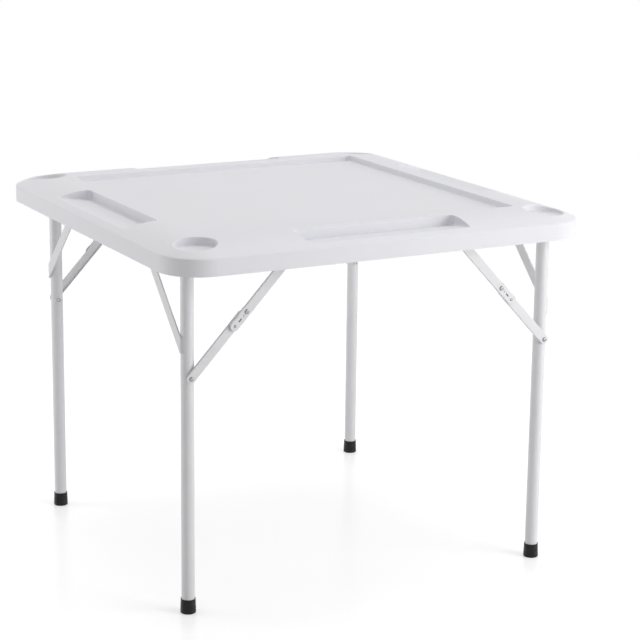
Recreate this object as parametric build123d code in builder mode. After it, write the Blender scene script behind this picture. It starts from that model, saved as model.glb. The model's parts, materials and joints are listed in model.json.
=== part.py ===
from build123d import *
import os
from math import hypot

os.makedirs("parts", exist_ok=True)

# Overall size of the square table, legs open
table_width = 880.0
table_height = 716.0
edge_depth = 51.0
corner_radius = 80.0

# Crown of the moulded top, which falls from the corners' centres out to the edge
crown_drop = 19.0
edge_turn_radius = 4.0
bottom_edge_radius = 1.5

# Sunk playing field and the panel under it
field_margin = 110.0
field_depth = 13.0
field_corner_radius = 8.0
panel_thickness = 12.0
floor_radius = 3.0
lip_radius = 2.0

# Tile tray in the middle of each side
tray_inset = 268.0
tray_ridge = 25.0
tray_depth = 21.0
tray_rise = 8.5
tray_run = 66.0
tray_corner_radius = 10.0
tray_floor_radius = 4.0

# Cup holder in each corner
cup_diameter = 78.0
cup_inset = 69.0
cup_depth = 16.0
cup_floor_radius = 4.0
cup_lip_radius = 2.0

# Pocket under the top that takes the folded legs
side_rim_width = 48.0
end_rim_width = 22.0
pocket_corner_radius = 12.0
foot_relief_depth = 3.0
foot_relief_margin = 2.5

# Dashes where the moulded skins are pressed together, seen from below
tack_pitch = 39.0
tack_length = 28.0
tack_width = 6.0
tack_depth = 4.0
rim_tack_pitch = 75.0
rim_tack_depth = 8.0

# Leg frames of steel tube
leg_diameter = 25.0
cross_tube_diameter = 22.0
tube_wall = 1.2
tube_inset = 70.0
inner_leg_inset = 108.0
outer_leg_inset = 64.0
hinge_drop = 13.0
fit_gap = 0.02

# Rubber feet
foot_diameter = 30.0
foot_top_diameter = 28.0
foot_height = 28.0
foot_floor = 3.0
foot_edge_radius = 2.0

# End plugs whose stubs turn in the rails
plug_depth = 16.0
stub_diameter = 10.0
stub_length = 7.0
stub_clearance = 0.05
end_play = 0.3

# Rails along the front and the back of the pocket
rail_width = 12.0
rail_height = 25.0
rail_wall = 1.5
rail_gap = 1.0
rail_end_gap = 9.0
rail_screw_inset = 19.0

# Bar across the middle of the pocket
crossbar_diameter = 20.0
crossbar_end_gap = 40.0
crossbar_screw_inset = 7.0
crossbar_tongue_width = 24.0
crossbar_tongue_length = 20.0
crossbar_taper = 26.0
crossbar_flat = 3.0

# Pan-head screws
screw_shank = 4.0
screw_head = 9.0
screw_head_height = 2.0
screw_bite = 7.0
rail_screw_head = 12.0

# Fixed stays between the legs and their cross tubes
stay_reach = 157.0
stay_width = 22.0
stay_thickness = 5.0
stay_standoff = 0.6
stay_saddle = 2.6
stay_edge_radius = 1.8

# Folding braces of two thin channels
brace_drop = 221.0
brace_reach = 208.0
link_width = 18.0
link_depth = 5.0
link_sheet = 1.5
link_bend_radius = 1.0
link_gap = 0.3
link_standoff = 1.0
flange_setback = 7.0
tail_length = 44.0
lock_reach = 34.0
slot_reach = 20.0
slot_length = 8.0
slot_width = 2.4
dot_reach = 9.5
dot_diameter = 2.4
tab_gap = 0.3
tab_thickness = 1.6
tab_length = 7.0
tab_overlap = 4.2

# Rivets
rivet_shank = 5.0
rivet_head = 9.2
rivet_head_height = 2.1
rivet_spacer = 8.5
rivet_play = 0.1
rivet_clearance = 0.05
rivet_bite = 3.0
lock_rivet_head = 5.5
lock_rivet_height = 1.2
lock_rivet_shank = 3.0
pin_head_height = 1.2

# Brackets that carry the upper links
bracket_thickness = 2.0
bracket_flange = 1.5
bracket_width = 12.0
bracket_length = 44.0
bracket_ear = 20.0
bracket_drop = 22.0
bracket_screw_spacing = 34.0
bracket_screw_head = 7.0

# Extra length that lets a cut run past a face
overrun = 6.0

# Places worked out from the sizes
half_width = table_width / 2
corner_place = half_width - corner_radius
skirt_z = table_height - edge_depth
field_width = table_width - 2 * field_margin
field_z = table_height - field_depth
ceiling_z = field_z - panel_thickness
tray_wall = field_width / 2 + tray_ridge
tray_length = table_width - 2 * tray_inset
tray_z = table_height - tray_depth
cup_spacing = table_width - 2 * cup_inset
cup_z = table_height - cup_depth
pocket_x = table_width - 2 * side_rim_width
pocket_y = table_width - 2 * end_rim_width
leg_radius = leg_diameter / 2
cross_radius = cross_tube_diameter / 2
tube_x = half_width - tube_inset
inner_leg_y = half_width - inner_leg_inset
outer_leg_y = half_width - outer_leg_inset
hinge_z = ceiling_z - hinge_drop
rail_y = pocket_y / 2 - rail_gap - rail_width
tube_end_y = rail_y - end_play
rail_z = ceiling_z - rail_height
rail_length = pocket_x - 2 * rail_end_gap
rail_screw_spacing = 2 * (tube_x - rail_screw_inset)
crossbar_length = pocket_x - 2 * crossbar_end_gap
crossbar_screw_spacing = crossbar_length - 2 * crossbar_screw_inset
stay_plane = leg_radius + stay_standoff
brace_length = hypot(brace_reach, brace_drop)
brace_cos = brace_reach / brace_length
brace_sin = brace_drop / brace_length
elbow_place = (brace_length + brace_drop - brace_reach) / 2
lower_layer = leg_radius + link_standoff
upper_layer = lower_layer + link_depth + link_gap
bracket_layer = upper_layer + link_depth + link_gap
lower_face = lower_layer + link_depth
upper_face = upper_layer + link_depth
bracket_screw_y = bracket_layer + (bracket_thickness - bracket_width) / 2

# Distance of each frame's legs from the middle of the table
leg_places = {"left": inner_leg_y, "right": outer_leg_y}
ends = ("front", "back")


def save(part, name):
    """Label one finished piece and write it to its own file."""
    part.label = name
    export_step(part, f"parts/{name}.step")


def placed(part, side, end):
    """Piece drawn for the right back quarter, mirrored to its own quarter."""
    if side == "left":
        part = mirror(part, about=Plane.YZ)
    if end == "front":
        part = mirror(part, about=Plane.XZ)
    return part


def both_ends(part):
    """The same piece at the back and at the front."""
    return part + mirror(part, about=Plane.XZ)


def near(edges, x, y, z, reach):
    """Edges whose middles lie at one height and within reach of a point in plan."""
    return [
        edge
        for edge in edges
        if abs(edge.center().Z - z) < fit_gap
        and abs(edge.center().X - x) < reach
        and abs(edge.center().Y - y) < reach
    ]


def make_rivet(shank, length, head, height):
    """Domed rivet along Z: shank from zero to length, head above it."""
    with BuildPart() as rivet:
        with BuildSketch(Plane.XY):
            Circle(shank / 2)
        extrude(amount=length)
        with BuildSketch(Plane.XY.offset(length)):
            Circle(head / 2)
        extrude(amount=height)
        rim = rivet.faces().sort_by(Axis.Z)[-1].edges()
        fillet(rim, radius=height - fit_gap)
    return rivet.part


def make_screw(head, grip):
    """Pan-head screw that points up through a piece as thick as its grip."""
    with BuildPart() as screw:
        with BuildSketch(Plane.XY):
            Circle(screw_shank / 2)
        extrude(amount=grip + screw_bite)
        with BuildSketch(Plane.XY.offset(-screw_head_height)):
            Circle(head / 2)
        extrude(amount=screw_head_height)
        fillet(screw.faces().sort_by(Axis.Z)[0].edges(), radius=screw_head_height / 2)
    return screw.part


def make_edge_section(plane):
    """Section of the moulded edge: crown that falls outward, tight turn, straight skirt."""
    with BuildSketch(plane) as section:
        with BuildLine():
            crown = TangentArc(
                (corner_place, table_height), (half_width, table_height - crown_drop), tangent=(1, 0)
            )
            Line(crown @ 1, (half_width, skirt_z))
            Line((half_width, skirt_z), (corner_place, skirt_z))
            Line((corner_place, skirt_z), crown @ 0)
        make_face()
        outer = section.vertices().group_by(Axis.X)[-1].sort_by(Axis.Y)
        fillet(outer[-1], radius=edge_turn_radius)
        fillet(outer[0], radius=bottom_edge_radius)
    return section.sketch


def make_blank():
    """Outer block of the top, its edge section run along the sides and round the corners."""
    with BuildPart() as side:
        extrude(make_edge_section(Plane.XZ), amount=corner_place, both=True)
    with BuildPart() as corner:
        turning = Axis((corner_place, corner_place, 0), (0, 0, 1))
        revolve(make_edge_section(Plane.XZ.offset(-corner_place)), axis=turning, revolution_arc=90)
    with BuildPart() as blank:
        with BuildSketch(Plane.XY.offset(skirt_z)):
            Rectangle(2 * corner_place, 2 * corner_place)
        extrude(amount=edge_depth)
        for turn in PolarLocations(0, 4):
            add(side.part.moved(turn))
            add(corner.part.moved(turn))
    return blank.part


def make_tray_cutter():
    """Space of the back tray: its floor rises outward until it runs out through the crown."""
    outer = half_width + overrun
    outer_z = tray_z + tray_rise * (outer - tray_wall) / tray_run
    top_z = table_height + overrun
    with BuildPart() as cutter:
        with BuildSketch(Plane.YZ):
            with BuildLine():
                Polyline((tray_wall, top_z), (tray_wall, tray_z), (outer, outer_z), (outer, top_z), close=True)
            make_face()
        extrude(amount=tray_length / 2, both=True)
        fillet(cutter.edges().filter_by(Axis.Z).group_by(Axis.Y)[0], radius=tray_corner_radius)
        floor = cutter.faces().sort_by(Axis.Z)[0]
        fillet(floor.edges().sort_by(Axis.Y)[:-1], radius=tray_floor_radius)
    return cutter.part


def make_tabletop():
    """Moulded top with its field, trays, cup holders and leg pocket."""
    blank = make_blank()
    tray = make_tray_cutter()
    with BuildPart() as top:
        add(blank)
        with BuildSketch(Plane.XY.offset(field_z)):
            RectangleRounded(field_width, field_width, field_corner_radius)
        extrude(amount=field_depth + overrun, mode=Mode.SUBTRACT)
        inside = field_width / 2 + fit_gap
        fillet(near(top.edges(), 0, 0, table_height, inside), radius=lip_radius)
        fillet(near(top.edges(), 0, 0, field_z, inside), radius=floor_radius)
        with BuildSketch(Plane.XY.offset(cup_z)):
            with GridLocations(cup_spacing, cup_spacing, 2, 2):
                Circle(cup_diameter / 2)
        extrude(amount=cup_depth + overrun, mode=Mode.SUBTRACT)
        floors = top.edges().filter_by(GeomType.CIRCLE).filter_by_position(Axis.Z, cup_z, cup_z)
        fillet(floors, radius=cup_floor_radius)
        for cup in GridLocations(cup_spacing, cup_spacing, 2, 2):
            fillet(cup_mouth(top.edges(), cup.position), radius=cup_lip_radius)
        for turn in PolarLocations(0, 4):
            add(tray.moved(turn), mode=Mode.SUBTRACT)
        with BuildSketch(Plane.XY.offset(skirt_z)):
            RectangleRounded(pocket_x, pocket_y, pocket_corner_radius)
        extrude(amount=ceiling_z - skirt_z, mode=Mode.SUBTRACT)
        add(make_foot_reliefs("left", -1), mode=Mode.SUBTRACT)
        add(make_foot_reliefs("right", 1), mode=Mode.SUBTRACT)
        add(make_panel_tacks(), mode=Mode.SUBTRACT)
        add(make_rim_tacks(), mode=Mode.SUBTRACT)
        add(make_pilot_holes(), mode=Mode.SUBTRACT)
    save(top.part, "tabletop")


def cup_mouth(edges, centre):
    """Edges around the mouth of one cup holder."""
    mouth = []
    low = cup_z + cup_floor_radius + fit_gap
    for edge in edges.filter_by_position(Axis.Z, low, table_height):
        gaps = [hypot((edge @ t).X - centre.X, (edge @ t).Y - centre.Y) for t in (0, 0.5, 1)]
        if max(abs(gap - cup_diameter / 2) for gap in gaps) < fit_gap:
            mouth.append(edge)
    return mouth


def make_pilot_holes():
    """Holes in the underside for the screws of the rails, the bar and the brackets."""
    with BuildPart() as holes:
        with BuildSketch(Plane.XY.offset(ceiling_z)):
            with GridLocations(rail_screw_spacing, 2 * rail_y + rail_width, 2, 2):
                Circle(screw_shank / 2 + fit_gap)
            with GridLocations(crossbar_screw_spacing, 0, 2, 1):
                Circle(screw_shank / 2 + fit_gap)
            with Locations(*bracket_screw_places()):
                Circle(screw_shank / 2 + fit_gap)
        extrude(amount=screw_bite + fit_gap)
    return holes.part


def bracket_screw_places():
    """Plan positions of the two screws of every bracket."""
    places = []
    for sign, side in ((-1, "left"), (1, "right")):
        centre = sign * (tube_x - brace_reach)
        span = 2 * (leg_places[side] + bracket_screw_y)
        for spot in GridLocations(bracket_screw_spacing, span, 2, 2):
            places.append((centre + spot.position.X, spot.position.Y))
    return places


def make_panel_tacks():
    """Dashes pressed up into the panel, every second one turned across."""
    count = 2 * int(field_width / 2 / tack_pitch)
    spots = list(GridLocations(tack_pitch, tack_pitch, count, count))
    along = [spot for number, spot in enumerate(spots) if (number // count + number) % 2]
    across = [spot for spot in spots if spot not in along]
    with BuildPart() as tacks:
        with BuildSketch(Plane.XY.offset(ceiling_z)):
            with Locations(*along):
                Rectangle(tack_length, tack_width)
            with Locations(*across):
                Rectangle(tack_width, tack_length)
        extrude(amount=tack_depth)
    return tacks.part


def make_rim_tacks():
    """Row of round-ended dashes along the underside of both side rims."""
    count = 2 * int(corner_place / rim_tack_pitch)
    rim_x = half_width - side_rim_width / 2
    with BuildPart() as tacks:
        with BuildSketch(Plane.XY.offset(skirt_z)):
            with GridLocations(2 * rim_x, rim_tack_pitch, 2, count):
                SlotOverall(tack_length, tack_width, rotation=90)
        extrude(amount=rim_tack_depth)
    return tacks.part


def make_foot_reliefs(side, sign):
    """Shallow hollows in the panel for the feet of one folded frame."""
    margin = 2 * foot_relief_margin
    place = sign * (tube_x - hinge_z + foot_height / 2)
    with BuildPart() as reliefs:
        with BuildSketch(Plane.XY.offset(ceiling_z)):
            with Locations((place, 0)):
                with GridLocations(0, 2 * leg_places[side], 1, 2):
                    Rectangle(foot_height + margin, foot_diameter + margin)
        extrude(amount=foot_relief_depth)
    return reliefs.part


def make_rails():
    """Front and back channels, open upward, with holes for stubs and screws."""
    with BuildPart() as rail:
        with BuildSketch(Plane.XY.offset(rail_z)):
            with Locations((0, rail_y + rail_width / 2)):
                Rectangle(rail_length, rail_width)
        extrude(amount=rail_height)
        with BuildSketch(Plane.XY.offset(rail_z + rail_wall)):
            with Locations((0, rail_y + rail_width / 2)):
                Rectangle(rail_length, rail_width - 2 * rail_wall)
        extrude(amount=rail_height, mode=Mode.SUBTRACT)
        fillet(rail.edges().filter_by(Axis.X).group_by(Axis.Z)[0], radius=rail_wall / 2)
        with BuildSketch(Plane.XZ.offset(-rail_y)):
            with Locations((-tube_x, hinge_z), (tube_x, hinge_z)):
                Circle(stub_diameter / 2 + stub_clearance)
        extrude(amount=-rail_wall, mode=Mode.SUBTRACT)
        with BuildSketch(Plane.XY.offset(rail_z)):
            with Locations((0, rail_y + rail_width / 2)):
                with GridLocations(rail_screw_spacing, 0, 2, 1):
                    Circle(screw_shank / 2 + fit_gap)
        extrude(amount=rail_wall, mode=Mode.SUBTRACT)
    save(placed(rail.part, "right", "front"), "front_rail")
    save(rail.part, "back_rail")


def make_rail_screws():
    """Four broad-headed screws that hold the rails."""
    screw = make_screw(rail_screw_head, rail_height)
    with BuildPart() as screws:
        with Locations(Plane.XY.offset(rail_z)):
            with GridLocations(rail_screw_spacing, 2 * rail_y + rail_width, 2, 2):
                add(screw)
    save(screws.part, "rail_screws")


def make_crossbar():
    """Tube across the middle with a flattened tongue at each end."""
    middle = crossbar_length / 2 - crossbar_tongue_length
    tube_end = middle - crossbar_taper
    tube_z = ceiling_z - crossbar_diameter / 2
    flat_z = ceiling_z - crossbar_flat / 2
    with BuildPart() as bar:
        with BuildSketch(Plane.YZ):
            with Locations((0, tube_z)):
                Circle(crossbar_diameter / 2)
        extrude(amount=tube_end)
        with BuildSketch(Plane.YZ.offset(tube_end)):
            with Locations((0, tube_z)):
                Circle(crossbar_diameter / 2)
        with BuildSketch(Plane.YZ.offset(middle)):
            with Locations((0, flat_z)):
                Ellipse(crossbar_tongue_width / 2, crossbar_flat / 2)
        loft()
        with BuildSketch(Plane.XY.offset(ceiling_z - crossbar_flat)):
            with Locations((middle + crossbar_tongue_length / 2, 0)):
                RectangleRounded(crossbar_tongue_length, crossbar_tongue_width, overrun)
            with Locations((middle - crossbar_flat, 0)):
                Rectangle(2 * overrun, crossbar_diameter / 2)
        extrude(amount=crossbar_flat)
        with BuildSketch(Plane.XY.offset(ceiling_z - crossbar_flat)):
            with Locations((crossbar_screw_spacing / 2, 0)):
                Circle(screw_shank / 2 + fit_gap)
        extrude(amount=crossbar_flat, mode=Mode.SUBTRACT)
        mirror(about=Plane.YZ)
    save(bar.part, "centre_crossbar")


def make_crossbar_screws():
    """Two screws through the tongues of the bar."""
    screw = make_screw(screw_head, crossbar_flat)
    with BuildPart() as screws:
        with Locations(Plane.XY.offset(ceiling_z - crossbar_flat)):
            with GridLocations(crossbar_screw_spacing, 0, 2, 1):
                add(screw)
    save(screws.part, "crossbar_screws")


def make_cross_tube(side):
    """Hinge tube of one frame, holed for the stays' rivets."""
    leg_y = leg_places[side]
    with BuildPart() as tube:
        with BuildSketch(Plane.XZ):
            with Locations((tube_x, hinge_z)):
                Circle(cross_radius)
                Circle(cross_radius - tube_wall, mode=Mode.SUBTRACT)
        extrude(amount=tube_end_y, both=True)
        with BuildSketch(Plane.YZ.offset(tube_x)):
            with Locations((stay_reach - leg_y, hinge_z), (leg_y - stay_reach, hinge_z)):
                Circle(rivet_shank / 2 + fit_gap)
        extrude(amount=leg_diameter, mode=Mode.SUBTRACT)
    save(placed(tube.part, side, "back"), f"{side}_cross_tube")


def make_plugs(side):
    """Two end plugs pressed into the cross tube, each with a stub that turns in a rail."""
    with BuildPart() as plug:
        with BuildSketch(Plane.XZ.offset(plug_depth - tube_end_y)):
            with Locations((tube_x, hinge_z)):
                Circle(cross_radius - tube_wall - fit_gap)
        extrude(amount=-plug_depth)
        with BuildSketch(Plane.XZ.offset(-tube_end_y)):
            with Locations((tube_x, hinge_z)):
                Circle(stub_diameter / 2)
        extrude(amount=-stub_length)
        chamfer(plug.faces().sort_by(Axis.Y)[-1].edges(), length=rail_wall / 2)
    save(placed(both_ends(plug.part), side, "back"), f"{side}_tube_plugs")


def make_leg(side):
    """Back leg of one frame, cut round to sit under the cross tube."""
    leg_y = leg_places[side]
    with BuildPart() as leg:
        with BuildSketch(Plane.XY.offset(foot_floor)):
            with Locations((tube_x, leg_y)):
                Circle(leg_radius)
                Circle(leg_radius - tube_wall, mode=Mode.SUBTRACT)
        extrude(amount=hinge_z - foot_floor)
        with BuildSketch(Plane.XZ.offset(-leg_y)):
            with Locations((tube_x, hinge_z)):
                Circle(cross_radius + fit_gap)
        extrude(amount=leg_diameter, both=True, mode=Mode.SUBTRACT)
        with BuildSketch(Plane.YZ.offset(tube_x)):
            with Locations((leg_y, hinge_z - stay_reach)):
                Circle(rivet_shank / 2 + fit_gap)
        extrude(amount=leg_diameter, mode=Mode.SUBTRACT)
        with BuildSketch(Plane.XZ.offset(-leg_y)):
            with Locations((tube_x, hinge_z - brace_drop)):
                Circle(rivet_shank / 2 + fit_gap)
        extrude(amount=-leg_diameter, mode=Mode.SUBTRACT)
    for end in ends:
        save(placed(leg.part, side, end), f"{side}_{end}_leg")


def make_foot(side):
    """Rubber cup under one leg, a little wider at the floor."""
    leg_y = leg_places[side]
    with BuildPart() as foot:
        with BuildSketch(Plane.XY):
            with Locations((tube_x, leg_y)):
                Circle(foot_diameter / 2)
        with BuildSketch(Plane.XY.offset(foot_height)):
            with Locations((tube_x, leg_y)):
                Circle(foot_top_diameter / 2)
        loft()
        fillet(foot.faces().sort_by(Axis.Z)[0].edges(), radius=foot_edge_radius)
        with BuildSketch(Plane.XY.offset(foot_floor)):
            with Locations((tube_x, leg_y)):
                Circle(leg_radius + fit_gap)
        extrude(amount=foot_height, mode=Mode.SUBTRACT)
    for end in ends:
        save(placed(foot.part, side, end), f"{side}_{end}_foot")


def make_stay(side):
    """Pressed strip at 45 degrees with a saddle at each end."""
    leg_y = leg_places[side]
    leg_point = (leg_y, hinge_z - stay_reach)
    tube_point = (leg_y - stay_reach, hinge_z)
    middle = (leg_y - stay_reach / 2, hinge_z - stay_reach / 2)
    with BuildPart() as stay:
        with BuildSketch(Plane.YZ.offset(tube_x + stay_plane)):
            SlotCenterPoint(middle, leg_point, stay_width)
        extrude(amount=stay_thickness)
        fillet(stay.faces().sort_by(Axis.X)[-1].edges(), radius=stay_edge_radius)
        with BuildSketch(Plane.YZ.offset(tube_x + stay_plane - stay_saddle)):
            with Locations(leg_point, tube_point):
                Circle(stay_width / 2 - stay_edge_radius)
        extrude(amount=stay_saddle)
        with BuildSketch(Plane.XY.offset(skirt_z - table_height / 2)):
            with Locations((tube_x, leg_y)):
                Circle(leg_radius + fit_gap)
        extrude(amount=table_height / 2 - stay_width, mode=Mode.SUBTRACT)
        with BuildSketch(Plane.XZ.offset(stay_reach - leg_y - stay_width)):
            with Locations((tube_x, hinge_z)):
                Circle(cross_radius + fit_gap)
        extrude(amount=2 * stay_width, mode=Mode.SUBTRACT)
        with BuildSketch(Plane.YZ.offset(tube_x)):
            with Locations(leg_point, tube_point):
                Circle(rivet_shank / 2 + fit_gap)
        extrude(amount=leg_diameter, mode=Mode.SUBTRACT)
    for end in ends:
        save(placed(stay.part, side, end), f"{side}_{end}_stay")


def make_stay_rivets(side):
    """Rivets at both ends of both stays."""
    leg_y = leg_places[side]
    length = stay_standoff + stay_thickness + rivet_bite
    start = tube_x + stay_plane + stay_thickness - length
    rivet = make_rivet(rivet_shank, length, rivet_head, rivet_head_height)
    with BuildPart() as rivets:
        with Locations(Plane.YZ.offset(start)):
            with Locations((leg_y, hinge_z - stay_reach), (leg_y - stay_reach, hinge_z)):
                add(rivet)
    save(placed(both_ends(rivets.part), side, "back"), f"{side}_stay_rivets")


def brace_plane(side, layer, along=0):
    """Plane of one brace layer: X runs up the brace from the leg's pivot."""
    x = tube_x - along * brace_cos
    z = hinge_z - brace_drop + along * brace_sin
    origin = (x, leg_places[side] + layer, z)
    return Plane(origin=origin, x_dir=(-brace_cos, 0, brace_sin), z_dir=(0, 1, 0))


def make_channel(side, layer, start, end):
    """Thin channel with round ends and flanges turned toward the leg."""
    middle = (start + end) / 2
    run = end - start
    with BuildPart() as link:
        with BuildSketch(brace_plane(side, layer + link_depth - link_sheet)):
            with Locations((middle, 0)):
                SlotCenterToCenter(run, link_width)
        extrude(amount=link_sheet)
        with BuildSketch(brace_plane(side, layer)):
            with Locations((middle, 0)):
                with GridLocations(0, link_width - link_sheet, 1, 2):
                    Rectangle(run - 2 * flange_setback, link_sheet)
        extrude(amount=link_depth - link_sheet)
        fillet(link.faces().sort_by(Axis.Y)[-1].edges(), radius=link_bend_radius)
    return link.part


def make_lower_link(side):
    """Lower link from the leg to the elbow."""
    blank = make_channel(side, lower_layer, 0, elbow_place)
    with BuildPart() as link:
        add(blank)
        with BuildSketch(brace_plane(side, lower_layer)):
            with Locations((0, 0), (elbow_place, 0)):
                Circle(rivet_shank / 2 + rivet_clearance)
        extrude(amount=link_depth, mode=Mode.SUBTRACT)
    for end in ends:
        save(placed(link.part, side, end), f"{side}_{end}_lower_link")


def make_upper_link(side):
    """Upper link with a lock tail, slot, dot and two stop tabs."""
    tail_end = elbow_place - tail_length + link_width / 2
    blank = make_channel(side, upper_layer, tail_end, brace_length)
    tab_y = link_width / 2 + tab_gap + tab_thickness / 2
    tab_places = (elbow_place - dot_reach, tab_y), (elbow_place - lock_reach + tab_length / 2, tab_y)
    with BuildPart() as link:
        add(blank)
        with BuildSketch(brace_plane(side, upper_face - link_sheet)):
            with Locations(*tab_places):
                Rectangle(tab_length, tab_thickness + 2 * link_bend_radius)
        extrude(amount=link_sheet)
        with BuildSketch(brace_plane(side, upper_layer - tab_overlap)):
            with Locations(*tab_places):
                Rectangle(tab_length, tab_thickness)
        extrude(amount=link_depth + tab_overlap)
        with BuildSketch(brace_plane(side, upper_layer)):
            with Locations((brace_length, 0)):
                Circle(rivet_shank / 2 + rivet_clearance)
            with Locations((elbow_place, 0)):
                Circle(rivet_shank / 2 + fit_gap)
            with Locations((elbow_place - lock_reach, 0)):
                Circle(lock_rivet_shank / 2 + fit_gap)
            with Locations((elbow_place - slot_reach, 0)):
                SlotOverall(slot_length, slot_width)
            with Locations((elbow_place - dot_reach, 0)):
                Circle(dot_diameter / 2)
        extrude(amount=link_depth, mode=Mode.SUBTRACT)
    for end in ends:
        save(placed(link.part, side, end), f"{side}_{end}_upper_link")


def make_elbow_rivets(side):
    """Elbow rivet and small lock rivet, both carried by the upper link."""
    elbow = make_rivet(rivet_shank, link_depth, rivet_head, rivet_head_height)
    lock = make_rivet(lock_rivet_shank, link_depth, lock_rivet_head, lock_rivet_height)
    with BuildPart() as rivets:
        with Locations(brace_plane(side, upper_layer, elbow_place)):
            add(elbow)
        with Locations(brace_plane(side, upper_layer, elbow_place - lock_reach)):
            add(lock)
    for end in ends:
        save(placed(rivets.part, side, end), f"{side}_{end}_elbow_rivets")


def make_brace_rivets(side):
    """Rivets that hold the lower links to both legs, each with a spacer."""
    start = leg_radius - rivet_bite
    length = lower_face + rivet_play - start
    rivet = make_rivet(rivet_shank, length, rivet_head, rivet_head_height)
    spacer_length = link_standoff + link_depth - link_sheet - rivet_play + tube_wall
    with BuildPart() as rivets:
        with Locations(brace_plane(side, start)):
            add(rivet)
        with BuildSketch(brace_plane(side, leg_radius - tube_wall)):
            Circle(rivet_spacer / 2)
        extrude(amount=spacer_length)
        with BuildSketch(Plane.XY):
            with Locations((tube_x, leg_places[side])):
                Circle(leg_radius + fit_gap)
        extrude(amount=table_height, mode=Mode.SUBTRACT)
        with Locations(brace_plane(side, start)):
            Cylinder(rivet_shank / 2, rivet_bite + fit_gap, align=(Align.CENTER, Align.CENTER, Align.MIN))
    save(placed(both_ends(rivets.part), side, "back"), f"{side}_brace_rivets")


def make_bracket(side):
    """Angle bracket screwed under the panel, with an ear for the upper link's pin."""
    face_y = leg_places[side] + bracket_layer
    flange_z = ceiling_z - bracket_flange
    pivot_x = tube_x - brace_reach
    with BuildPart() as bracket:
        with BuildSketch(Plane.XY.offset(flange_z)):
            with Locations((pivot_x, face_y + bracket_thickness - bracket_width / 2)):
                Rectangle(bracket_length, bracket_width)
        extrude(amount=bracket_flange)
        with BuildSketch(Plane.XZ.offset(-face_y)):
            with Locations((pivot_x, ceiling_z - bracket_drop / 2)):
                RectangleRounded(bracket_ear, bracket_drop, bracket_thickness)
            with Locations((pivot_x, ceiling_z - bracket_flange)):
                Rectangle(bracket_length, 2 * bracket_flange)
        extrude(amount=-bracket_thickness)
        with BuildSketch(Plane.XZ.offset(-face_y)):
            with Locations((pivot_x, hinge_z)):
                Circle(rivet_shank / 2 + fit_gap)
            with Locations((pivot_x, ceiling_z + overrun)):
                Rectangle(bracket_length, 2 * overrun)
        extrude(amount=-bracket_thickness, mode=Mode.SUBTRACT)
        with BuildSketch(Plane.XY.offset(flange_z)):
            with Locations((pivot_x, leg_places[side] + bracket_screw_y)):
                with GridLocations(bracket_screw_spacing, 0, 2, 1):
                    Circle(screw_shank / 2 + fit_gap)
        extrude(amount=bracket_flange, mode=Mode.SUBTRACT)
    for end in ends:
        save(placed(bracket.part, side, end), f"{side}_{end}_bracket")


def make_bracket_pins(side):
    """Pins that hold the upper links to both brackets of one side."""
    start = leg_places[side] + upper_face - link_sheet - rivet_play
    length = bracket_layer + bracket_thickness + rivet_play + link_sheet - upper_face
    pin = make_rivet(rivet_shank, length, rivet_head, pin_head_height)
    with BuildPart() as pins:
        with Locations(Plane.XZ.offset(-start)):
            with Locations((tube_x - brace_reach, hinge_z)):
                add(pin.rotate(Axis.X, 180))
                Cylinder(rivet_head / 2, pin_head_height, align=(Align.CENTER, Align.CENTER, Align.MIN))
    save(placed(both_ends(pins.part), side, "back"), f"{side}_bracket_pins")


def make_bracket_screws():
    """Two screws through the flange of each bracket."""
    screw = make_screw(bracket_screw_head, bracket_flange)
    with BuildPart() as screws:
        with Locations(Plane.XY.offset(ceiling_z - bracket_flange)):
            with Locations(*bracket_screw_places()):
                add(screw)
    save(screws.part, "bracket_screws")


make_tabletop()
make_rails()
make_rail_screws()
make_crossbar()
make_crossbar_screws()
make_bracket_screws()
for side in leg_places:
    make_cross_tube(side)
    make_plugs(side)
    make_leg(side)
    make_foot(side)
    make_stay(side)
    make_stay_rivets(side)
    make_lower_link(side)
    make_upper_link(side)
    make_elbow_rivets(side)
    make_brace_rivets(side)
    make_bracket(side)
    make_bracket_pins(side)
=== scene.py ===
import json
from math import atan2, cos, hypot, pi, radians, sin

import bmesh
import bpy
from mathutils import Matrix, Vector


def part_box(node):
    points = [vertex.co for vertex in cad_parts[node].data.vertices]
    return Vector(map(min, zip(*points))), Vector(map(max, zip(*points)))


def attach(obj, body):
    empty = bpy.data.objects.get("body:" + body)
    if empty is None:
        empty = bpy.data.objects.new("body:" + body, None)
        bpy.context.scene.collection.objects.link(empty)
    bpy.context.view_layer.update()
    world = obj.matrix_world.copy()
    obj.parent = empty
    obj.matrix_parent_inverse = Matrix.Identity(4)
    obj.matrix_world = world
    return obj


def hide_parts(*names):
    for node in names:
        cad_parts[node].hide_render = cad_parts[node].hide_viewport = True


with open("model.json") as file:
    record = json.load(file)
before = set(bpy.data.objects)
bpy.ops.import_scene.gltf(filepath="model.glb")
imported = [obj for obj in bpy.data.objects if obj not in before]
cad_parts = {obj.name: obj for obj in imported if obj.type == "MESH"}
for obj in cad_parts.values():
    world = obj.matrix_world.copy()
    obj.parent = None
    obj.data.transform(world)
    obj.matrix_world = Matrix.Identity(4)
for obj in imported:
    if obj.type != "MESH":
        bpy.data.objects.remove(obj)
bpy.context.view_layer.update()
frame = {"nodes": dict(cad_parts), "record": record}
nodes = frame["nodes"]

# Camera, fitted to the photograph with little lens shift, so that other views aren't cropped
CAMERA_PLACE = Vector((-1.7691, -3.4196, 1.4265))
CAMERA_YAW = radians(27.987)
CAMERA_PITCH = radians(13.341)
CAMERA_ROLL = radians(0.609)
FOCAL_PIXELS = 1935.9
CENTRE_PIXEL = (305.8, 288.4)
IMAGE_PIXELS = 640
SENSOR_MM = 36.0

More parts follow.
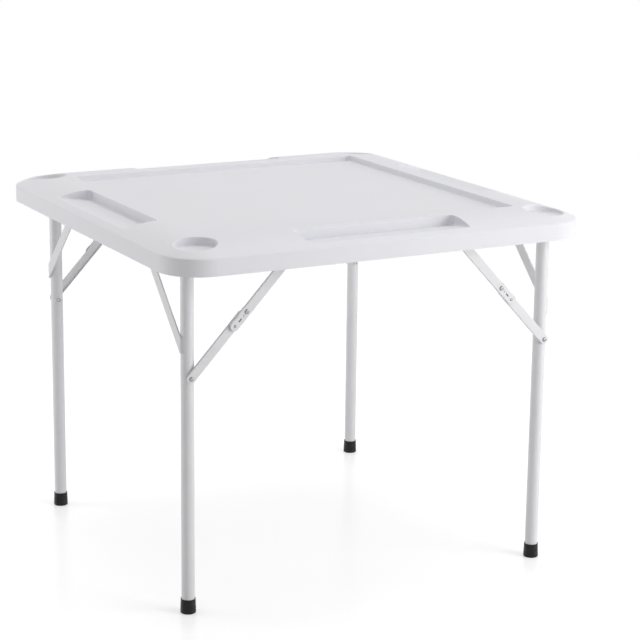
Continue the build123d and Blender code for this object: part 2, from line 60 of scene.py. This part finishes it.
# Softboxes: place, width and power in metres and watts; all are aimed at one point
LAMP_AIM = Vector((0, 0, 0.6))
LAMPS = {
    "overhead": ((0.2, 0.5, 3.5), 2.6, 37),
    "right_front_box": ((1.7, -2.2, 1.1), 1.7, 38),
    "left_back_box": ((-2.8, 1.6, 0.6), 1.1, 23),
}

# Light levels and the floor's extent in metres
AMBIENT = 0.42
FLOOR_LIFT = 0.42
FLOOR_RADIUS = 9.0
FLOOR_SIDES = 96
FLOOR_COLOUR = (0.8, 0.8, 0.8, 1)
FADE_START = 1.6
FADE_END = 5.0

# Sockets of a node that mixes colours, which share their names with others
MIX_FACTOR = 0
MIX_LOW = 6
MIX_HIGH = 7
MIX_RESULT = 2

# Colours that each finish varies between
PLASTIC_TONES = ((0.80, 0.80, 0.835), (0.83, 0.83, 0.86))
COAT_TONES = ((0.74, 0.74, 0.755), (0.79, 0.79, 0.80))
RUBBER_TONES = ((0.006, 0.006, 0.006), (0.014, 0.014, 0.0145))
STEEL_TONES = ((0.22, 0.225, 0.23), (0.4, 0.4, 0.41))
BLACK_TONES = ((0.012, 0.012, 0.013), (0.045, 0.045, 0.045))

# Patterns of the finishes, in grains per metre
RIPPLE_SCALE = 6.0
LEATHER_SCALE = 900.0
CELL_SCALE = 700.0
PEEL_SCALE = 420.0
TONE_SCALE = 14.0
RUBBER_SCALE = 1300.0
DUST_SCALE = 90.0
STAIN_SCALE = 300.0
BRUSH_SCALE = 2600.0
WEAR_SCALE = 600.0

# Share of fine detail in every noise, and spread of the powder coat's roughness
NOISE_ROUGHNESS = 0.55
COAT_SPREAD = 0.12

# Shading and rounding of the pieces made here
SMOOTH_ANGLE = radians(40)
NORMAL_WEIGHT = 80
BEVEL_SEGMENTS = 2

# Flat stays on the outer side of the tubes, in metres; the weld beads fill the small gap
STAY_WIDTH = 0.022
STAY_SLOPE = radians(45)
STAY_THICKNESS = 0.0032
STAY_GAP = 0.0005
STAY_OVERLAP = 0.003
STAY_BEVEL = 0.0006
WELD_RADIUS = 0.0016
WELD_STEP = 0.0022
WELD_VOXEL = 0.0005
WELD_SUBDIVISIONS = 2

# Rolled ends of the brace rivets, on the legs' inner side
TAIL_RADIUS = 0.0044
TAIL_SIDES = 32
TAIL_HEIGHT = 0.0022
TAIL_RIM = 0.0017
TAIL_HOLLOW = 0.0012
TAIL_BEVEL = 0.0004
FACING_SHARE = 0.9

# Stop tabs on the upper links, low along the edge, and how far below the elbow each one sits
TAB_LENGTH = 0.012
TAB_THICKNESS = 0.001
TAB_DEPTH = 0.004
TAB_SETBACK = 0.0004
TAB_BEVEL = 0.0003
TAB_REACHES = (0.0015, 0.033)
LINK_HALF_WIDTH = 0.009
LINK_SLIVER = 0.00002
CUTTER_SIZE = 0.04
MERGE_DISTANCE = 0.000001

SIDES = {"left": -1, "right": 1}
ENDS = {"front": -1, "back": 1}


class Flow:
    """A value in a material's node tree that ordinary arithmetic can be done on."""

    def __init__(self, tree, socket):
        self.tree = tree
        self.socket = socket

    def node(self, kind, output=0, inputs=None, **settings):
        """Adds a node, with its inputs given by name or number, and returns one of its outputs."""
        made = self.tree.nodes.new(kind)
        for name, value in settings.items():
            setattr(made, name, value)
        for name, value in (inputs or {}).items():
            self.feed(made.inputs[name], value)
        return Flow(self.tree, made.outputs[output])

    def feed(self, target, value):
        """Links a flow to a socket, or sets the socket to a plain value."""
        if isinstance(value, Flow):
            self.tree.links.new(value.socket, target)
        else:
            target.default_value = value

    def maths(self, operation, first, second):
        """Result of an operation on two flows or numbers."""
        return self.node("ShaderNodeMath", inputs={0: first, 1: second}, operation=operation)

    def __add__(self, other):
        return self.maths("ADD", self, other)

    def __radd__(self, other):
        return self.maths("ADD", other, self)

    def __rsub__(self, other):
        return self.maths("SUBTRACT", other, self)

    def __mul__(self, other):
        return self.maths("MULTIPLY", self, other)

    def noise(self, scale, detail=3.0):
        """Noise from zero to one, its scale in grains per metre."""
        inputs = {"Vector": self, "Scale": scale, "Detail": detail, "Roughness": NOISE_ROUGHNESS}
        return self.node("ShaderNodeTexNoise", "Fac", inputs)

    def between(self, low, high):
        """This value, from zero to one, as a mix of two colours."""
        mix = self.tree.nodes.new("ShaderNodeMix")
        mix.data_type = "RGBA"
        self.feed(mix.inputs[MIX_FACTOR], self)
        mix.inputs[MIX_LOW].default_value = (*low, 1)
        mix.inputs[MIX_HIGH].default_value = (*high, 1)
        return Flow(self.tree, mix.outputs[MIX_RESULT])

    def bumped(self, strength, distance, normal=None):
        """This height as a bumped normal, its distance in metres."""
        inputs = {"Height": self, "Strength": strength, "Distance": distance}
        if normal is not None:
            inputs["Normal"] = normal
        return self.node("ShaderNodeBump", "Normal", inputs)


def new_material(name, roughness, **constants):
    """A principled material with constants on its sockets; returns it, its shader and its place."""
    material = bpy.data.materials.new(name)
    material.use_nodes = True
    tree = material.node_tree
    shader = tree.nodes["Principled BSDF"]
    shader.inputs["Roughness"].default_value = roughness
    for key, value in constants.items():
        shader.inputs[key.replace("_", " ")].default_value = value
    place = tree.nodes.new("ShaderNodeTexCoord").outputs["Object"]
    return material, shader, Flow(tree, place)


def plastic():
    """White blow-moulded polyethylene: satin, with a fine leathery grain and slow ripples."""
    material, shader, place = new_material("white_plastic", roughness=0.4, IOR=1.5)
    ripple = place.noise(RIPPLE_SCALE, detail=2.0)
    grain = place.noise(LEATHER_SCALE, detail=2.0)
    cells = place.node("ShaderNodeTexVoronoi", "Distance", {"Vector": place, "Scale": CELL_SCALE})
    place.feed(shader.inputs["Base Color"], ripple.between(*PLASTIC_TONES))
    place.feed(shader.inputs["Roughness"], 0.54 + ripple * 0.1 + grain * 0.06)
    slow = ripple.bumped(strength=0.25, distance=0.003)
    fine = (cells * 0.6 + grain * 0.4).bumped(strength=0.16, distance=0.0003, normal=slow)
    place.feed(shader.inputs["Normal"], fine)
    return material


def powder_coat(name, rough):
    """Powder coat on steel: slight orange peel and small tonal changes."""
    material, shader, place = new_material(name, roughness=rough, IOR=1.5)
    peel = place.noise(PEEL_SCALE, detail=2.0)
    tone = place.noise(TONE_SCALE)
    place.feed(shader.inputs["Base Color"], tone.between(*COAT_TONES))
    place.feed(shader.inputs["Roughness"], tone * COAT_SPREAD + (rough - COAT_SPREAD / 2))
    place.feed(shader.inputs["Normal"], peel.bumped(strength=0.22, distance=0.0004))
    return material


def rubber():
    """Black rubber: fine grain and faint paler dust."""
    material, shader, place = new_material("black_rubber", roughness=0.3, IOR=1.3)
    grain = place.noise(RUBBER_SCALE)
    dust = place.noise(DUST_SCALE, detail=4.0)
    place.feed(shader.inputs["Base Color"], dust.between(*RUBBER_TONES))
    place.feed(shader.inputs["Roughness"], 0.2 + dust * 0.16)
    place.feed(shader.inputs["Normal"], grain.bumped(strength=0.3, distance=0.0002))
    return material


def bright_steel():
    """Zinc-plated rivets: metallic, lightly brushed."""
    material, shader, place = new_material("zinc_steel", roughness=0.3, Metallic=1.0)
    stain = place.noise(STAIN_SCALE)
    marks = place.noise(BRUSH_SCALE, detail=2.0)
    place.feed(shader.inputs["Base Color"], stain.between(*STEEL_TONES))
    place.feed(shader.inputs["Roughness"], 0.16 + stain * 0.12)
    place.feed(shader.inputs["Normal"], marks.bumped(strength=0.12, distance=0.0001))
    return material


def black_metal(name, metallic):
    """Black oxide screws and nylon plugs."""
    material, shader, place = new_material(name, roughness=0.4, Metallic=metallic)
    wear = place.noise(WEAR_SCALE)
    place.feed(shader.inputs["Base Color"], wear.between(*BLACK_TONES))
    place.feed(shader.inputs["Roughness"], 0.3 + wear * 0.25)
    place.feed(shader.inputs["Normal"], wear.bumped(strength=0.2, distance=0.0002))
    return material


def make_looks():
    """One material for each slot in the record."""
    return {
        "tabletop": plastic(),
        "steel_white": powder_coat("rail_coat", rough=0.42),
        "frame_white": powder_coat("tube_coat", rough=0.36),
        "link_white": powder_coat("link_coat", rough=0.4),
        "screw_black": black_metal("black_screw", metallic=0.8),
        "plug": black_metal("black_nylon", metallic=0.0),
        "rubber": rubber(),
        "rivet": bright_steel(),
    }


def dress_nodes():
    """Gives every CAD node its material, by its slot in the record."""
    for subpart in frame["record"]["subparts"]:
        mesh = nodes[subpart["node"]].data
        mesh.materials.clear()
        mesh.materials.append(looks[subpart["material_slot"]])


def middle_of(node):
    """Middle of a CAD node's box."""
    low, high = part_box(node)
    return (low + high) / 2


def size_of(node):
    """Size of a CAD node's box."""
    low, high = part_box(node)
    return high - low


def select_only(active, *others):
    """Selects these pieces alone, the first as the active one."""
    bpy.ops.object.select_all(action="DESELECT")
    for piece in (active, *others):
        piece.select_set(True)
    bpy.context.view_layer.objects.active = active


def join_into(piece, *others):
    """Joins the other pieces into the first."""
    select_only(piece, *others)
    bpy.ops.object.join()


def apply_place(piece):
    """Moves a piece's place, turn and size into its mesh."""
    select_only(piece)
    bpy.ops.object.transform_apply(location=True, rotation=True, scale=True)


def apply_modifier(piece, kind, **settings):
    """Adds a modifier with its settings and applies it."""
    modifier = piece.modifiers.new(kind.lower(), kind)
    for name, value in settings.items():
        setattr(modifier, name, value)
    bpy.ops.object.modifier_apply(modifier=modifier.name)


def copy_of(master, place, end="back"):
    """Copy with its own mesh, turned round for the front end, its place in its mesh."""
    select_only(master)
    bpy.ops.object.duplicate()
    piece = bpy.context.object
    piece.location = place
    piece.rotation_euler.z = 0 if end == "back" else pi
    apply_place(piece)
    return piece


def finish_piece(piece, name, body, slot_name):
    """Names a piece, dresses it and lets it ride on its body."""
    piece.name = name
    bpy.ops.object.shade_smooth_by_angle(angle=SMOOTH_ANGLE)
    apply_modifier(piece, "WEIGHTED_NORMAL", weight=NORMAL_WEIGHT, keep_sharp=True)
    piece.data.materials.clear()
    piece.data.materials.append(looks[slot_name])
    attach(piece, body)


def model_stay():
    """Flat strip at 45 degrees for a back leg, from the leg's middle up to the cross tube's."""
    leg = middle_of("right_back_leg")
    tube = middle_of("right_cross_tube")
    run = middle_of("right_back_stay")
    bpy.ops.mesh.primitive_cube_add(
        size=1,
        location=(0, run.y - leg.y, run.z - tube.z),
        rotation=(-STAY_SLOPE, 0, 0),
        scale=(STAY_THICKNESS, 2 * size_of("right_back_stay").y, STAY_WIDTH),
    )
    stay = bpy.context.object
    stay.name = "stay"
    apply_place(stay)
    bpy.ops.object.mode_set(mode="EDIT")
    for place, direction in (((0, STAY_OVERLAP, 0), (0, 1, 0)), ((0, 0, STAY_OVERLAP), (0, 0, 1))):
        bpy.ops.mesh.select_all(action="SELECT")
        bpy.ops.mesh.bisect(plane_co=place, plane_no=direction, use_fill=True, clear_outer=True)
    bpy.ops.object.mode_set(mode="OBJECT")
    apply_modifier(stay, "BEVEL", width=STAY_BEVEL, segments=BEVEL_SEGMENTS)
    return stay


def model_bead():
    """Row of weld drops along one cut end of a stay, melted together, along Z."""
    bpy.ops.mesh.primitive_ico_sphere_add(
        subdivisions=WELD_SUBDIVISIONS, radius=WELD_RADIUS, location=(0, 0, 0)
    )
    drop = bpy.context.object
    reach = STAY_WIDTH / cos(STAY_SLOPE) / 2 - WELD_RADIUS
    count = int(reach / WELD_STEP)
    drops = [copy_of(drop, (0, 0, step * WELD_STEP)) for step in range(-count, count + 1)]
    bead = drops.pop()
    join_into(bead, drop, *drops)
    bead.name = "weld_bead"
    apply_modifier(bead, "REMESH", mode="VOXEL", voxel_size=WELD_VOXEL, use_smooth_shade=True)
    return bead


def lay_along_y(bead):
    """Copy of an upright weld bead, laid along Y."""
    lying = copy_of(bead, (0, 0, 0))
    lying.rotation_euler.x = pi / 2
    apply_place(lying)
    return lying


def model_rivet_tail():
    """Rolled, hollow end of a brace rivet, its axis along Y, for the inner side of a back leg."""
    bpy.ops.mesh.primitive_cylinder_add(
        vertices=TAIL_SIDES,
        radius=TAIL_RADIUS,
        depth=TAIL_HEIGHT,
        location=(0, 0, 0),
        rotation=(pi / 2, 0, 0),
    )
    tail = bpy.context.object
    tail.name = "rivet_tail"
    apply_place(tail)
    bpy.ops.object.mode_set(mode="EDIT")
    mesh = bmesh.from_edit_mesh(tail.data)
    for face in mesh.faces:
        face.select_set(face.normal.y < -FACING_SHARE)
    bpy.ops.mesh.inset(thickness=TAIL_RIM)
    bpy.ops.mesh.extrude_region_shrink_fatten(TRANSFORM_OT_shrink_fatten={"value": -TAIL_HOLLOW})
    bpy.ops.object.mode_set(mode="OBJECT")
    apply_modifier(tail, "BEVEL", width=TAIL_BEVEL, segments=BEVEL_SEGMENTS)
    return tail


def model_stop_tab():
    """Small pressed tab, its length along X and its thickness along Z."""
    bpy.ops.mesh.primitive_cube_add(
        size=1, location=(0, 0, 0), scale=(TAB_LENGTH, TAB_DEPTH, TAB_THICKNESS)
    )
    tab = bpy.context.object
    tab.name = "stop_tab"
    apply_place(tab)
    apply_modifier(tab, "BEVEL", width=TAB_BEVEL, segments=BEVEL_SEGMENTS)
    return tab


def merge_vertices(piece):
    """Joins the vertices of a piece that lie on one another."""
    select_only(piece)
    bpy.ops.object.mode_set(mode="EDIT")
    bpy.ops.mesh.select_all(action="SELECT")
    bpy.ops.mesh.remove_doubles(threshold=MERGE_DISTANCE)
    bpy.ops.object.mode_set(mode="OBJECT")


def cut_block(piece, place, slope, size):
    """Cuts a block out of a piece, the block turned by the slope about Y."""
    bpy.ops.mesh.primitive_cube_add(size=1, location=place, rotation=(0, slope, 0), scale=size)
    block = bpy.context.object
    apply_place(block)
    select_only(piece)
    apply_modifier(piece, "BOOLEAN", operation="DIFFERENCE", solver="EXACT", object=block)
    bpy.data.objects.remove(block)


def add_upper_link(side, end):
    """Upper link with its tall tabs cut away and low ones in their place."""
    tube = middle_of(f"{side}_cross_tube")
    leg_pivot = middle_of(f"{side}_brace_rivets")
    top_pivot = middle_of(f"{side}_bracket_pins")
    low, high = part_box(f"{side}_{end}_upper_link")
    reach = abs(top_pivot.x - tube.x)
    drop = top_pivot.z - leg_pivot.z
    run = hypot(reach, drop)
    slope = SIDES[side] * atan2(drop, reach)
    elbow = (run + drop - reach) / 2
    along = Vector((-SIDES[side] * reach, 0, drop)) / run
    edge_way = Vector((SIDES[side] * drop, 0, reach)) / run
    leg_pivot.x = tube.x
    leg_pivot.y = high.y if end == "back" else low.y
    leg_pivot.y -= ENDS[end] * (TAB_DEPTH / 2 + TAB_SETBACK)
    link = bpy.data.objects.new("link", nodes[f"{side}_{end}_upper_link"].data.copy())
    bpy.context.scene.collection.objects.link(link)
    apply_place(link)
    merge_vertices(link)
    beyond_edge = edge_way * (LINK_HALF_WIDTH + LINK_SLIVER + CUTTER_SIZE / 2)
    cut_place = leg_pivot + along * elbow + beyond_edge
    cut_block(link, cut_place, slope, (run, CUTTER_SIZE, CUTTER_SIZE))
    tabs = []
    on_edge = edge_way * (LINK_HALF_WIDTH + TAB_THICKNESS / 2 - LINK_SLIVER)
    for below in TAB_REACHES:
        tab = copy_of(tab_shape, (0, 0, 0))
        tab.rotation_euler.y = slope
        tab.location = leg_pivot + (along * (elbow - below) + on_edge)
        apply_place(tab)
        tabs.append(tab)
    join_into(link, *tabs)
    finish_piece(link, f"{side}_{end}_upper_link_low_tabs", f"{side}_{end}_upper", "link_white")
    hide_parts(f"{side}_{end}_upper_link")


def add_stays(side):
    """Both stays of one leg frame and their weld beads."""
    tube = middle_of(f"{side}_cross_tube")
    beads = []
    for end, toward in ENDS.items():
        leg = middle_of(f"{side}_{end}_leg")
        run = middle_of(f"{side}_{end}_stay")
        skin = leg.x + SIDES[side] * size_of(f"{side}_{end}_leg").x / 2
        middle = skin + SIDES[side] * (STAY_GAP + STAY_THICKNESS / 2)
        stay = copy_of(stay_shape, (middle, leg.y, tube.z), end)
        finish_piece(stay, f"{side}_{end}_stay_strip", f"{side}_frame", "frame_white")
        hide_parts(f"{side}_{end}_stay")
        slant = (run.y - leg.y) * toward + run.z
        on_leg = (skin, leg.y + toward * STAY_OVERLAP, slant - STAY_OVERLAP)
        on_tube = (skin, leg.y + toward * (slant - tube.z - STAY_OVERLAP), tube.z + STAY_OVERLAP)
        beads.append(copy_of(bead_shape, on_leg))
        beads.append(copy_of(lying_bead_shape, on_tube))
    welds = beads.pop()
    join_into(welds, *beads)
    finish_piece(welds, f"{side}_stay_welds", f"{side}_frame", "frame_white")
    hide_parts(f"{side}_stay_rivets")


def add_rivet_tails(side):
    """Rolled ends of both brace rivets of one leg frame."""
    rivets = middle_of(f"{side}_brace_rivets")
    for end, toward in ENDS.items():
        leg = middle_of(f"{side}_{end}_leg")
        skin = leg.y - toward * size_of(f"{side}_{end}_leg").x / 2
        tail = copy_of(tail_shape, (leg.x, skin, rivets.z), end)
        finish_piece(tail, f"{side}_{end}_rivet_tail", f"{side}_frame", "rivet")


def seen_directly(tree):
    """One for rays that show a surface itself, in a mirror or through clear stuff; zero for light."""
    path = tree.nodes.new("ShaderNodeLightPath")
    camera, gloss, through = (
        Flow(tree, path.outputs[name])
        for name in ("Is Camera Ray", "Is Glossy Ray", "Is Transmission Ray")
    )
    return camera.maths("MAXIMUM", camera, gloss.maths("MAXIMUM", gloss, through))


def make_floor():
    """Pale floor that keeps soft shadows, fades into the white around it and is clear from below."""
    bpy.ops.mesh.primitive_circle_add(
        vertices=FLOOR_SIDES, radius=FLOOR_RADIUS, fill_type="NGON", location=(0, 0, 0)
    )
    floor = bpy.context.object
    floor.name = "floor"
    material, shader, place = new_material("floor_white", roughness=0.2, IOR=1.3)
    shader.inputs["Base Color"].default_value = FLOOR_COLOUR
    shader.inputs["Emission Strength"].default_value = 1
    lift = seen_directly(place.tree).between((0, 0, 0), (FLOOR_LIFT, FLOOR_LIFT, FLOOR_LIFT))
    place.feed(shader.inputs["Emission Color"], lift)
    reach = place.node("ShaderNodeVectorMath", "Value", {0: place}, operation="LENGTH")
    span = {"From Min": FADE_START, "From Max": FADE_END, "To Min": 1.0, "To Max": 0.0}
    fade = reach.node("ShaderNodeMapRange", 0, {"Value": reach, **span})
    under = place.node("ShaderNodeNewGeometry", "Backfacing")
    place.feed(shader.inputs["Alpha"], fade * (1 - under))
    floor.data.materials.append(material)


def make_surroundings():
    """World: white where it is seen, and a soft light of its own level for the rest."""
    world = bpy.data.worlds.new("studio")
    bpy.context.scene.world = world
    world.use_nodes = True
    tree = world.node_tree
    shader = tree.nodes["Background"]
    shader.inputs["Color"].default_value = (1, 1, 1, 1)
    seen = seen_directly(tree)
    seen.feed(shader.inputs["Strength"], seen.maths("MAXIMUM", seen, AMBIENT))


def make_lamp(name, place, size, power):
    """Square softbox of one size, aimed at the table."""
    data = bpy.data.lights.new(name, "AREA")
    data.shape = "SQUARE"
    data.size = size
    data.energy = power
    lamp = bpy.data.objects.new(name, data)
    bpy.context.scene.collection.objects.link(lamp)
    lamp.location = place
    lamp.rotation_euler = (LAMP_AIM - Vector(place)).to_track_quat("-Z", "Y").to_euler()


def make_lamps():
    """Light from above, from the right front and from the left back; the near corner stays darker."""
    for name, (place, size, power) in LAMPS.items():
        make_lamp(name, place, size, power)


def make_camera():
    """Camera close to the photograph's place, with a small part of the framing as a lens shift."""
    flat = cos(CAMERA_PITCH)
    forward = Vector((sin(CAMERA_YAW) * flat, cos(CAMERA_YAW) * flat, -sin(CAMERA_PITCH)))
    level = Vector((cos(CAMERA_YAW), -sin(CAMERA_YAW), 0))
    upright = level.cross(forward)
    right = level * cos(CAMERA_ROLL) + upright * sin(CAMERA_ROLL)
    up = right.cross(forward)
    data = bpy.data.cameras.new("camera")
    data.sensor_width = SENSOR_MM
    data.lens = FOCAL_PIXELS * SENSOR_MM / IMAGE_PIXELS
    data.shift_x = (IMAGE_PIXELS / 2 - CENTRE_PIXEL[0]) / IMAGE_PIXELS
    data.shift_y = (CENTRE_PIXEL[1] - IMAGE_PIXELS / 2) / IMAGE_PIXELS
    camera = bpy.data.objects.new("camera", data)
    bpy.context.scene.collection.objects.link(camera)
    turn = Matrix((right, up, -forward)).transposed()
    camera.matrix_world = Matrix.Translation(CAMERA_PLACE) @ turn.to_4x4()
    bpy.context.scene.camera = camera


looks = make_looks()
dress_nodes()
stay_shape = model_stay()
bead_shape = model_bead()
lying_bead_shape = lay_along_y(bead_shape)
tail_shape = model_rivet_tail()
tab_shape = model_stop_tab()
for side in SIDES:
    add_stays(side)
    add_rivet_tails(side)
    for end in ENDS:
        add_upper_link(side, end)
for shape in (stay_shape, bead_shape, lying_bead_shape, tail_shape, tab_shape):
    bpy.data.objects.remove(shape)
make_floor()
make_surroundings()
make_lamps()
make_camera()
bpy.context.scene.view_settings.view_transform = "Standard"
